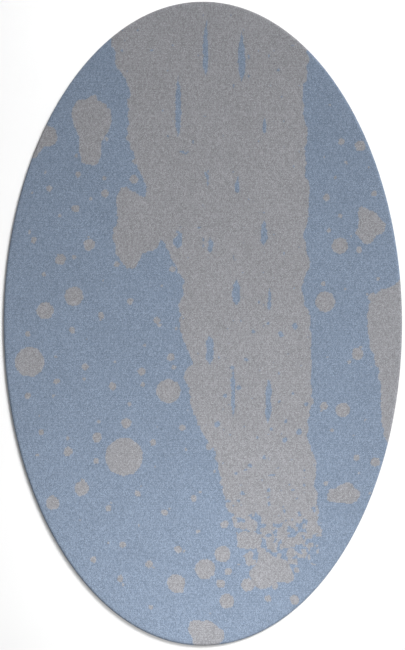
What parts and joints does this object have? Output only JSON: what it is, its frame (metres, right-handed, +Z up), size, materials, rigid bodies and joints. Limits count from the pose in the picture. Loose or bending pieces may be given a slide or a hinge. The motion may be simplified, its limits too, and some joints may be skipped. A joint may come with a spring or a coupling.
{
  "type": "oval area rug",
  "caption": "Oval tufted area rug in two yarn colours with a canvas back; it lies flat and rolls up pile-in.",
  "frame": {"origin": "middle of the underside, on the floor", "axes": "+X across the rug, +Y along it towards the end that rolls up, +Z up through the pile"},
  "size_m": [1.5, 2.424, 0.014],
  "materials": {
    "blue_yarn": "matt cut pile",
    "grey_yarn": "matt cut pile",
    "tufting_cloth": "plain weave",
    "latex": "matt",
    "canvas": "plain weave",
    "tape": "herringbone twill"
  },
  "bodies": {
    "band_1": {"blue_pile_1": "blue_yarn", "grey_pile_1": "grey_yarn", "tufting_cloth_1": "tufting_cloth", "latex_coat_1": "latex", "canvas_backing_1": "canvas", "edge_tape_1": "tape"},
    "band_2": {"blue_pile_2": "blue_yarn", "grey_pile_2": "grey_yarn", "tufting_cloth_2": "tufting_cloth", "latex_coat_2": "latex", "canvas_backing_2": "canvas", "edge_tape_2": "tape"},
    "band_3": {"blue_pile_3": "blue_yarn", "grey_pile_3": "grey_yarn", "tufting_cloth_3": "tufting_cloth", "latex_coat_3": "latex", "canvas_backing_3": "canvas", "edge_tape_3": "tape"},
    "band_4": {"blue_pile_4": "blue_yarn", "grey_pile_4": "grey_yarn", "tufting_cloth_4": "tufting_cloth", "latex_coat_4": "latex", "canvas_backing_4": "canvas", "edge_tape_4": "tape"},
    "band_5": {"blue_pile_5": "blue_yarn", "grey_pile_5": "grey_yarn", "tufting_cloth_5": "tufting_cloth", "latex_coat_5": "latex", "canvas_backing_5": "canvas", "edge_tape_5": "tape"},
    "band_6": {"blue_pile_6": "blue_yarn", "grey_pile_6": "grey_yarn", "tufting_cloth_6": "tufting_cloth", "latex_coat_6": "latex", "canvas_backing_6": "canvas", "edge_tape_6": "tape"},
    "band_7": {"blue_pile_7": "blue_yarn", "grey_pile_7": "grey_yarn", "tufting_cloth_7": "tufting_cloth", "latex_coat_7": "latex", "canvas_backing_7": "canvas", "edge_tape_7": "tape"},
    "band_8": {"blue_pile_8": "blue_yarn", "grey_pile_8": "grey_yarn", "tufting_cloth_8": "tufting_cloth", "latex_coat_8": "latex", "canvas_backing_8": "canvas", "edge_tape_8": "tape"},
    "band_9": {"blue_pile_9": "blue_yarn", "grey_pile_9": "grey_yarn", "tufting_cloth_9": "tufting_cloth", "latex_coat_9": "latex", "canvas_backing_9": "canvas", "edge_tape_9": "tape"},
    "band_10": {"blue_pile_10": "blue_yarn", "grey_pile_10": "grey_yarn", "tufting_cloth_10": "tufting_cloth", "latex_coat_10": "latex", "canvas_backing_10": "canvas", "edge_tape_10": "tape"}
  },
  "joints": [
    {"name": "roll_up", "type": "hinge", "parent": "band_1", "child": "band_2", "pos_m": [0, -0.8976, 0.004], "axis": [1, 0, 0], "range_deg": [0, 60]},
    {"name": "roll_2", "type": "hinge", "parent": "band_2", "child": "band_3", "pos_m": [0, -0.5992, 0.004], "axis": [1, 0, 0], "range_deg": [0, 60]},
    {"name": "roll_3", "type": "hinge", "parent": "band_3", "child": "band_4", "pos_m": [0, -0.3168, 0.004], "axis": [1, 0, 0], "range_deg": [0, 60]},
    {"name": "roll_4", "type": "hinge", "parent": "band_4", "child": "band_5", "pos_m": [0, -0.0504, 0.004], "axis": [1, 0, 0], "range_deg": [0, 60]},
    {"name": "roll_5", "type": "hinge", "parent": "band_5", "child": "band_6", "pos_m": [0, 0.2, 0.004], "axis": [1, 0, 0], "range_deg": [0, 60]},
    {"name": "roll_6", "type": "hinge", "parent": "band_6", "child": "band_7", "pos_m": [0, 0.4344, 0.004], "axis": [1, 0, 0], "range_deg": [0, 60]},
    {"name": "roll_7", "type": "hinge", "parent": "band_7", "child": "band_8", "pos_m": [0, 0.6528, 0.004], "axis": [1, 0, 0], "range_deg": [0, 60]},
    {"name": "roll_8", "type": "hinge", "parent": "band_8", "child": "band_9", "pos_m": [0, 0.8552, 0.004], "axis": [1, 0, 0], "range_deg": [0, 60]},
    {"name": "roll_9", "type": "hinge", "parent": "band_9", "child": "band_10", "pos_m": [0, 1.0416, 0.004], "axis": [1, 0, 0], "range_deg": [0, 60]}
  ],
  "couplings": [
    {"joint": "roll_2", "follows": "roll_up", "ratio": 1},
    {"joint": "roll_3", "follows": "roll_up", "ratio": 1},
    {"joint": "roll_4", "follows": "roll_up", "ratio": 1},
    {"joint": "roll_5", "follows": "roll_up", "ratio": 1},
    {"joint": "roll_6", "follows": "roll_up", "ratio": 1},
    {"joint": "roll_7", "follows": "roll_up", "ratio": 1},
    {"joint": "roll_8", "follows": "roll_up", "ratio": 1},
    {"joint": "roll_9", "follows": "roll_up", "ratio": 1}
  ]
}
